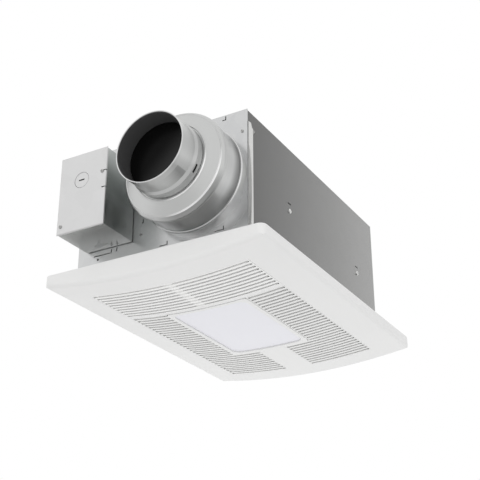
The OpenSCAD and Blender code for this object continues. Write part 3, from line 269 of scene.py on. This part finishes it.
# Screws of the walls and the blower. Zinc plated pan heads with a cross recess. Four are driven
# through the side walls, one below each slot, and three hold the blower's motor on its plate.
screw_zinc = zinc_sheet("screw_zinc", pale=(0.97, 0.97, 0.96), deep=(0.9, 0.9, 0.89),
                        flakes=600, rough=(0.1, 0.2))
dress(screw_zinc, "side_wall_screws", "blower_motor_screws")

# Duct plate. A flat galvanised plate with small L-shaped lances, screwed over the housing's end
# by screws with a darker passivated skin. Painted light makes its sheet paler below the duct.
collar_low, collar_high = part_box("duct_collar_large")
duct_middle = (collar_low + collar_high) / 2


def make_duct_place():
    """Where a point lies at the duct: its turn round the axis, reach from it and way along it"""
    group, enter, leave = begin_group(
        "duct_place", [("Duct middle", "Vector", (0, 0, 0))],
        [("Turn", "Float"), ("Reach", "Float"), ("Along", "Float")])
    place = add_node(group, "TexCoord").outputs["Object"]
    offset = add_node(group, "VectorMath", {0: place, 1: enter["Duct middle"]},
                      operation="SUBTRACT").outputs["Vector"]
    part = add_node(group, "SeparateXYZ", {"Vector": offset}).outputs
    across = add_node(group, "CombineXYZ", {"X": part["X"], "Y": part["Z"]}).outputs["Vector"]
    reach = add_node(group, "VectorMath", {0: across}, operation="LENGTH").outputs["Value"]
    turn = reckon(group, "ARCTAN2", part["Z"], part["X"])
    feed_node(group, leave, {"Turn": turn, "Reach": reach, "Along": part["Y"]})
    return group


def make_duct_side():
    """A mask that is white towards one side of the duct, with a straight or a soft edge"""
    group, enter, leave = begin_group(
        "duct_side",
        [("Turn", "Float", 0), ("Turned back", "Float", 0), ("Edge cosine", "Float", 0.5),
         ("Full cosine", "Float", 1)],
        [("Straight", "Float"), ("Soft", "Float")])
    facing = reckon(group, "COSINE", reckon(group, "ADD", enter["Turn"], enter["Turned back"]))
    straight = fade(group, facing, enter["Edge cosine"], enter["Full cosine"])
    soft = fade(group, straight, 0, 1, step="SMOOTHSTEP")
    feed_node(group, leave, {"Straight": straight, "Soft": soft})
    return group


duct_place = make_duct_place()
duct_side = make_duct_side()


def place_at_duct(tree):
    """Turn, reach and way along the duct in one material"""
    return add_node(tree, "Group", {"Duct middle": duct_middle}, node_tree=duct_place).outputs


def side_mask(tree, turn, turned_back, edge_cosine, full_cosine, edge="Straight"):
    """The mask of one side of the duct in one material"""
    side = {"Turn": turn, "Turned back": turned_back, "Edge cosine": edge_cosine,
            "Full cosine": full_cosine}
    return add_node(tree, "Group", side, node_tree=duct_side).outputs[edge]


def plate_sheet():
    """The plate's sheet, with painted light below the duct"""
    material = zinc_sheet("plate_zinc", pale=(0.64, 0.645, 0.645), deep=(0.59, 0.595, 0.60),
                          flakes=85, rough=(0.28, 0.34))
    tree = material.node_tree
    below_duct = side_mask(tree, place_at_duct(tree)["Turn"], turned_back=1.25,
                           edge_cosine=0.82, full_cosine=0.98, edge="Soft")
    # Painted light: the sheet is made paler below the duct.
    plate_painted_light = (0.78, 0.785, 0.785, 1)
    shade(material, {"Base Color": tint(tree, below_duct, skin_of(material), plate_painted_light)})
    return material


dress(plate_sheet(), "duct_plate")
dull_screw = zinc_sheet("dull_screw", pale=(0.58, 0.58, 0.57), deep=(0.46, 0.46, 0.455),
                        flakes=600, rough=(0.2, 0.3))
dress(dull_screw, "duct_plate_screws", "junction_box_screws")


# Large collar. It is spun from galvanised sheet, so that fine lines run round it, and stands on the
# plate with a bead round its foot. Painted shade darkens it above the bead, on the side away from
# the wiring. A painted highlight lies on the bead's crest, and painted light on the foot on the
# duct's under side.
def make_turned_lines():
    """Fine lines turned round the duct's axis, in two tones of zinc, as a group"""
    group, enter, leave = begin_group(
        "turned_lines",
        [("Pale", "Color", (0.6, 0.6, 0.6, 1)), ("Deep", "Color", (0.5, 0.5, 0.5, 1)),
         ("Lines per metre", "Float", 400), ("Reach", "Float", 0), ("Along", "Float", 0)],
        [("Color", "Color"), ("Height", "Float")])
    turned = add_node(group, "CombineXYZ", {"X": enter["Reach"], "Y": enter["Along"]})
    lines = add_node(group, "TexNoise", {
        "Vector": turned.outputs["Vector"], "Scale": enter["Lines per metre"], "Detail": 3})
    feed_node(group, leave, {
        "Color": tint(group, lines.outputs["Fac"], enter["Deep"], enter["Pale"]),
        "Height": lines.outputs["Fac"]})
    return group


turned_lines = make_turned_lines()


def spun_zinc(name, pale, deep, roughness, lines=420):
    """Galvanised sheet with lines turned round the duct's axis, and its place at the duct"""
    skin_values = {"Pale": (*pale, 1), "Deep": (*deep, 1), "Lines per metre": lines}
    material = skinned(name, turned_lines, skin_values, grain=0.01, grain_depth=0.001)
    tree = material.node_tree
    place = place_at_duct(tree)
    feed_node(tree, tree.nodes["skin"], {"Reach": place["Reach"], "Along": place["Along"]})
    shade(material, {"Metallic": 1, "Roughness": roughness})
    return material, tree, place


def where_all(tree, mask, *other_masks):
    """A mask that is white where all of them are"""
    for other in other_masks:
        mask = reckon(tree, "MULTIPLY", mask, other)
    return mask


collar_foot = collar_high.y - duct_middle.y


def collar_sheet():
    """The collar's sheet: painted shade above the foot bead, a painted highlight on its crest,
    painted light at the foot
    """
    material, tree, place = spun_zinc(
        "collar_zinc", pale=(0.60, 0.605, 0.60), deep=(0.55, 0.555, 0.555), roughness=0.30)
    # Painted shade: the sheet is darkened above the foot bead on one side of the duct.
    painted_shade_side = side_mask(tree, place["Turn"], turned_back=0.14,
                                 edge_cosine=0.5, full_cosine=0.95, edge="Soft")
    shade_starts = collar_foot - 0.037
    darkest_shade = collar_foot - 0.021
    bead_starts = collar_foot - 0.0172
    near_foot = fade(tree, place["Along"], shade_starts, darkest_shade, step="SMOOTHSTEP")
    above_bead = reckon(tree, "LESS_THAN", place["Along"], bead_starts)
    painted_shade_grey = (0.45, 0.45, 0.45, 1)
    dull = tint(tree, where_all(tree, painted_shade_side, near_foot, above_bead),
                skin_of(material), painted_shade_grey, blend="MULTIPLY")
    # Painted highlight on the foot bead's crest, and painted light on the foot below the duct.
    painted_light_grey = (0.8, 0.8, 0.8, 1)
    crest_reach = 0.0747
    on_crest = reckon(tree, "GREATER_THAN", place["Reach"], crest_reach)
    crest_highlit = tint(tree, on_crest, dull, painted_light_grey)
    below_duct = side_mask(tree, place["Turn"], turned_back=1.35,
                           edge_cosine=0.60, full_cosine=0.85)
    bead_ends = collar_foot - 0.0150
    at_foot = reckon(tree, "GREATER_THAN", place["Along"], bead_ends)
    clean = tint(tree, where_all(tree, below_duct, at_foot), crest_highlit, painted_light_grey)
    shade(material, {"Base Color": clean})
    return material


dress(collar_sheet(), "duct_collar_large")


# Reducer. It is rolled from one strip and pushed over the large collar's end, and a welded lap runs
# along its small collar, low on the side away from the wiring. The sheet is duller beside the lap,
# painted shade darkens the shoulder low down, and painted highlights lie on the beads and the hem.
def reducer_sheet():
    """The reducer's sheet: dull at the lap, painted shade on the shoulder, painted highlights on
    its beads and its hem
    """
    material, tree, place = spun_zinc(
        "reducer_zinc", pale=(0.59, 0.595, 0.59), deep=(0.55, 0.555, 0.55), roughness=0.30)
    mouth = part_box("duct_reducer")[0].y - duct_middle.y
    lap_turn = -0.7156
    lap_end = -1.31
    lap_half = 0.0093
    lap_middle = mouth + 2 * lap_half
    lap_fade = fade(tree, place["Turn"], lap_end, lap_turn)
    below_lap = reckon(tree, "LESS_THAN", place["Turn"], lap_turn)
    beside_lap = reckon(tree, "COMPARE", place["Along"], lap_middle, lap_half)
    lap_grey = (0.76, 0.76, 0.76, 1)
    tone = tint(tree, where_all(tree, below_lap, beside_lap, lap_fade),
                skin_of(material), lap_grey, blend="MULTIPLY")
    # Painted highlights on the two beads, on the duct's lower right side.
    low_right = side_mask(tree, place["Turn"], turned_back=0.8,
                          edge_cosine=0.62, full_cosine=0.88)
    bead_painted_highlight = (0.96, 0.96, 0.96, 1)
    for bead_reach, bead_half in ((0.0526, 0.0017), (0.071, 0.0011)):
        on_bead = reckon(tree, "COMPARE", place["Reach"], bead_reach, bead_half)
        tone = tint(tree, where_all(tree, on_bead, low_right), tone, bead_painted_highlight)
    # Painted highlight round the hem.
    hem_painted_highlight = (0.70, 0.70, 0.70, 1)
    hem_half = 0.0007
    on_hem = reckon(tree, "COMPARE", place["Along"], mouth + hem_half, hem_half)
    tone = tint(tree, on_hem, tone, hem_painted_highlight)
    # Painted shade low on the shoulder, below the duct.
    below_duct = side_mask(tree, place["Turn"], turned_back=1.1,
                           edge_cosine=0.70, full_cosine=0.93)
    bead_foot_reach = 0.0721
    past_bead = reckon(tree, "GREATER_THAN", place["Reach"], bead_foot_reach)
    skirt_starts = collar_foot - 0.0525
    shoulder_ends = collar_foot - 0.0555
    off_skirt = fade(tree, place["Along"], skirt_starts, shoulder_ends)
    shoulder_painted_shade = (0.6, 0.6, 0.6, 1)
    tone = tint(tree, where_all(tree, below_duct, past_bead, off_skirt),
                tone, shoulder_painted_shade, blend="MULTIPLY")
    shade(material, {"Base Color": tone})
    return material


dress(reducer_sheet(), "duct_reducer")


# Damper. A black plastic sleeve in the small collar, with a flap that hangs on a steel pin and
# falls shut when the blower stops. A painted shadow darkens the flap's upper left and lifts
# towards its lower right.
def make_moulded_skin():
    """The skin of moulded plastic: soft clouds, worn gloss and a fine mould grain, as a group"""
    group, enter, leave = begin_group(
        "moulded_skin",
        [("Clean", "Color", (0.8, 0.8, 0.8, 1)), ("Dull", "Color", (0.75, 0.75, 0.75, 1)),
         ("Smoothest", "Float", 0.35), ("Roughest", "Float", 0.5)],
        [("Color", "Color"), ("Roughness", "Float"), ("Height", "Float")])
    thin_cloud = 0.3
    thick_cloud = 0.7
    place = add_node(group, "TexCoord").outputs["Object"]
    clouds = add_node(group, "TexNoise", {"Vector": place, "Scale": 14, "Detail": 5})
    cloud = clouds.outputs["Fac"]
    roughness = fade(group, cloud, thin_cloud, thick_cloud, enter["Smoothest"], enter["Roughest"])
    grain = add_node(group, "TexNoise", {"Vector": place, "Scale": 1500, "Detail": 1})
    feed_node(group, leave, {
        "Color": tint(group, cloud, enter["Clean"], enter["Dull"]),
        "Roughness": roughness,
        "Height": grain.outputs["Fac"]})
    return group


moulded_skin = make_moulded_skin()


def moulding(name, clean, dull, rough, grain=0.04):
    """Moulded plastic in a clean and a duller tone, between its smoothest and its roughest"""
    smoothest, roughest = rough
    skin_values = {"Clean": (*clean, 1), "Dull": (*dull, 1), "Smoothest": smoothest,
                   "Roughest": roughest}
    material = skinned(name, moulded_skin, skin_values, grain, grain_depth=0.0004)
    shade(material, {"Roughness": skin_of(material, "Roughness")})
    return material


def flap_plastic():
    """Black plastic with little shine, under a painted shadow that lifts towards the lower right"""
    material = moulding("flap_black", clean=(0.003, 0.003, 0.003), dull=(0.002, 0.002, 0.002),
                        rough=(0.24, 0.28))
    tree = material.node_tree
    place = add_node(tree, "TexCoord").outputs["Object"]
    part = add_node(tree, "SeparateXYZ", {"Vector": place}).outputs
    # Painted shadow: the flap is darkest at its upper left and lifts towards its lower right.
    towards_low_right = reckon(tree, "SUBTRACT", part["X"], part["Z"])
    flap_low, flap_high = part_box("damper_flap")
    flap_middle = (flap_low + flap_high) / 2
    flap_half = flap_high.x - flap_middle.x
    middle = flap_middle.x - flap_middle.z
    shadow_falloff_starts = middle - 0.3 * flap_half
    shadow_falloff_ends = middle + 1.05 * flap_half
    painted_shadow_falloff = fade(tree, towards_low_right, shadow_falloff_starts, shadow_falloff_ends, low=1.2, high=15,
                step="SMOOTHSTEP")
    shade(material, {"Base Color": brighten(tree, skin_of(material), painted_shadow_falloff),
                     "Specular IOR Level": 0.05})
    return material


dress(moulding("sleeve_black", clean=(0.085, 0.085, 0.086), dull=(0.07, 0.07, 0.071),
               rough=(0.4, 0.5)), "damper_sleeve")
dress(flap_plastic(), "damper_flap")
dress(screw_zinc, "damper_pin")


# Junction box. A small sheet box on the duct plate, closed by a duller cover that laps its sides,
# with a round knockout for the supply and a terminal block behind it. Painted shade darkens the box
# half way up its right side, and painted light makes it paler below.
def box_sheet():
    """The box's sheet: painted shade half way up the right side, painted light on the under side"""
    material = zinc_sheet("box_zinc", pale=(0.54, 0.56, 0.55), deep=(0.52, 0.54, 0.53),
                          flakes=85, rough=(0.24, 0.26))
    tree = material.node_tree
    place = add_node(tree, "TexCoord").outputs
    height = add_node(tree, "SeparateXYZ", {"Vector": place["Object"]}).outputs["Z"]
    facing = add_node(tree, "SeparateXYZ", {"Vector": place["Normal"]}).outputs
    box_low, box_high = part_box("junction_box")
    box_height = box_high.z - box_low.z
    # Painted shade half way up the right side, and painted light on the under side.
    shade_starts = box_low.z + 0.18 * box_height
    shade_full = box_low.z + 0.52 * box_height
    shade_thins = box_low.z + 0.62 * box_height
    shade_ends = box_low.z + 0.98 * box_height
    above_start = fade(tree, height, shade_starts, shade_full, step="SMOOTHSTEP")
    below_end = fade(tree, height, shade_thins, shade_ends, low=1, high=0, step="SMOOTHSTEP")
    right_side = reckon(tree, "GREATER_THAN", facing["X"], facing_part)
    under_side = reckon(tree, "LESS_THAN", facing["Z"], -facing_part)
    painted_shade_grey = (0.40, 0.42, 0.41, 1)
    under_painted_light = (0.66, 0.67, 0.66, 1)
    tone = tint(tree, where_all(tree, above_start, below_end, right_side),
                skin_of(material), painted_shade_grey, blend="MULTIPLY")
    shade(material, {"Base Color": tint(tree, under_side, tone, under_painted_light)})
    return material


cover_zinc = zinc_sheet("cover_zinc", pale=(0.69, 0.69, 0.69), deep=(0.67, 0.67, 0.67),
                        flakes=60, rough=(0.35, 0.42))
dress(box_sheet(), "junction_box")
dress(cover_zinc, "junction_box_cover", "conduit_knockout")
dress(moulding("terminal_cream", clean=(0.72, 0.70, 0.62), dull=(0.66, 0.64, 0.56),
               rough=(0.35, 0.45)), "terminal_block")
dress(moulding("ground_green", clean=(0.03, 0.22, 0.07), dull=(0.02, 0.16, 0.05),
               rough=(0.3, 0.4)), "ground_screw")

# Blower. A black moulded scroll hung from the roof by two brackets, closed below by a plate with
# a bell mouth. The motor stands on the scroll and turns a bladed wheel inside it.
scroll_black = moulding("scroll_black", clean=(0.045, 0.045, 0.047), dull=(0.035, 0.035, 0.037),
                        rough=(0.4, 0.55))
wheel_black = moulding("wheel_black", clean=(0.025, 0.025, 0.027), dull=(0.018, 0.018, 0.020),
                       rough=(0.3, 0.4))
gasket_foam = moulding("gasket_foam", clean=(0.015, 0.015, 0.015), dull=(0.010, 0.010, 0.010),
                       rough=(0.8, 0.95), grain=0.3)
inner_zinc = zinc_sheet("inner_zinc", pale=(0.64, 0.65, 0.66), deep=(0.55, 0.56, 0.57),
                        flakes=85, rough=(0.35, 0.5))
motor_steel = zinc_sheet("motor_steel", pale=(0.22, 0.22, 0.23), deep=(0.17, 0.17, 0.18),
                         flakes=300, rough=(0.35, 0.45))
turned_steel = zinc_sheet("turned_steel", pale=(0.80, 0.80, 0.80), deep=(0.70, 0.70, 0.71),
                          flakes=500, rough=(0.15, 0.25))
dress(scroll_black, "blower_scroll")
dress(gasket_foam, "outlet_gasket")
dress(inner_zinc, "blower_inlet_ring", "scroll_brackets", "blower_motor_plate")
dress(motor_steel, "blower_motor")
dress(wheel_black, "blower_wheel")
dress(turned_steel, "blower_shaft", "blower_bearing", "blower_wheel_clip")

# Heater. A sheet case with a finned element, a small fan in its round inlet and a thermal cut-out
# on its side. The fan's motor sits on a strap across the inlet.
fin_aluminium = zinc_sheet("fin_aluminium", pale=(0.86, 0.86, 0.87), deep=(0.78, 0.78, 0.79),
                           flakes=400, rough=(0.2, 0.35))
frame_black = moulding("frame_black", clean=(0.03, 0.03, 0.03), dull=(0.02, 0.02, 0.02),
                       rough=(0.5, 0.6))
dress(inner_zinc, "heater_case", "heater_motor_bridge")
dress(fin_aluminium, "heater_element")
dress(frame_black, "heater_element_frame")
dress(motor_steel, "heater_motor")
dress(wheel_black, "heater_fan")
dress(turned_steel, "heater_shaft")
dress(moulding("cutout_white", clean=(0.78, 0.77, 0.74), dull=(0.72, 0.71, 0.68),
               rough=(0.3, 0.4)), "thermal_cutout")

# Control. A black moulded tray that stands against the roof. It holds a green board, with two
# relays, a transformer and a capacitor on it.
dress(frame_black, "control_case")
dress(moulding("board_green", clean=(0.02, 0.12, 0.05), dull=(0.015, 0.09, 0.04),
               rough=(0.25, 0.35)), "control_board")
dress(moulding("relay_blue", clean=(0.02, 0.03, 0.12), dull=(0.015, 0.02, 0.09),
               rough=(0.3, 0.4)), "control_parts")

# Light. A white painted pan on two straps, which turn up against the side walls. It holds a board
# of small lamps, with their driver above.
pan_white = moulding("pan_white", clean=(0.80, 0.80, 0.79), dull=(0.76, 0.76, 0.75),
                     rough=(0.35, 0.5))
dress(pan_white, "light_tray", "light_board")
dress(moulding("lamp_yellow", clean=(0.75, 0.62, 0.22), dull=(0.68, 0.55, 0.18),
               rough=(0.2, 0.3)), "light_chips")
dress(frame_black, "light_driver")

# Springs. Two torsion springs of bright wire on seats inside the grille. Their arms pass through
# slots in brackets on the housing walls and hold the grille up.
spring_wire = zinc_sheet("spring_wire", pale=(0.74, 0.74, 0.75), deep=(0.64, 0.64, 0.66),
                         flakes=800, rough=(0.18, 0.28))
for side in ("left", "right"):
    dress(inner_zinc, f"spring_bracket_{side}")
    dress(spring_wire, f"spring_coil_{side}", f"spring_arm_{side}_front",
          f"spring_arm_{side}_back")

# Grille. A white moulding, curved across its width, with three louvred panels dropped into it and
# a raised surround round the frosted lens. The near panel is a paler white.
white_rough = (0.34, 0.44)
grille_white = moulding("grille_white", clean=(0.83, 0.83, 0.825), dull=(0.80, 0.80, 0.795),
                        rough=white_rough)
louvre_white = moulding("louvre_white", clean=(0.83, 0.83, 0.82), dull=(0.80, 0.80, 0.79),
                        rough=white_rough)
near_white = moulding("near_white", clean=(0.90, 0.90, 0.89), dull=(0.87, 0.87, 0.86),
                      rough=white_rough)
lens_frost = moulding("lens_frost", clean=(0.84, 0.84, 0.885), dull=(0.82, 0.82, 0.865),
                      rough=(0.28, 0.36))
dress(grille_white, "grille_frame", "lens_surround", "spring_seat_left", "spring_seat_right")
dress(near_white, "near_louvre")
dress(louvre_white, "far_louvre_left", "far_louvre_right")
dress(lens_frost, "light_lens")
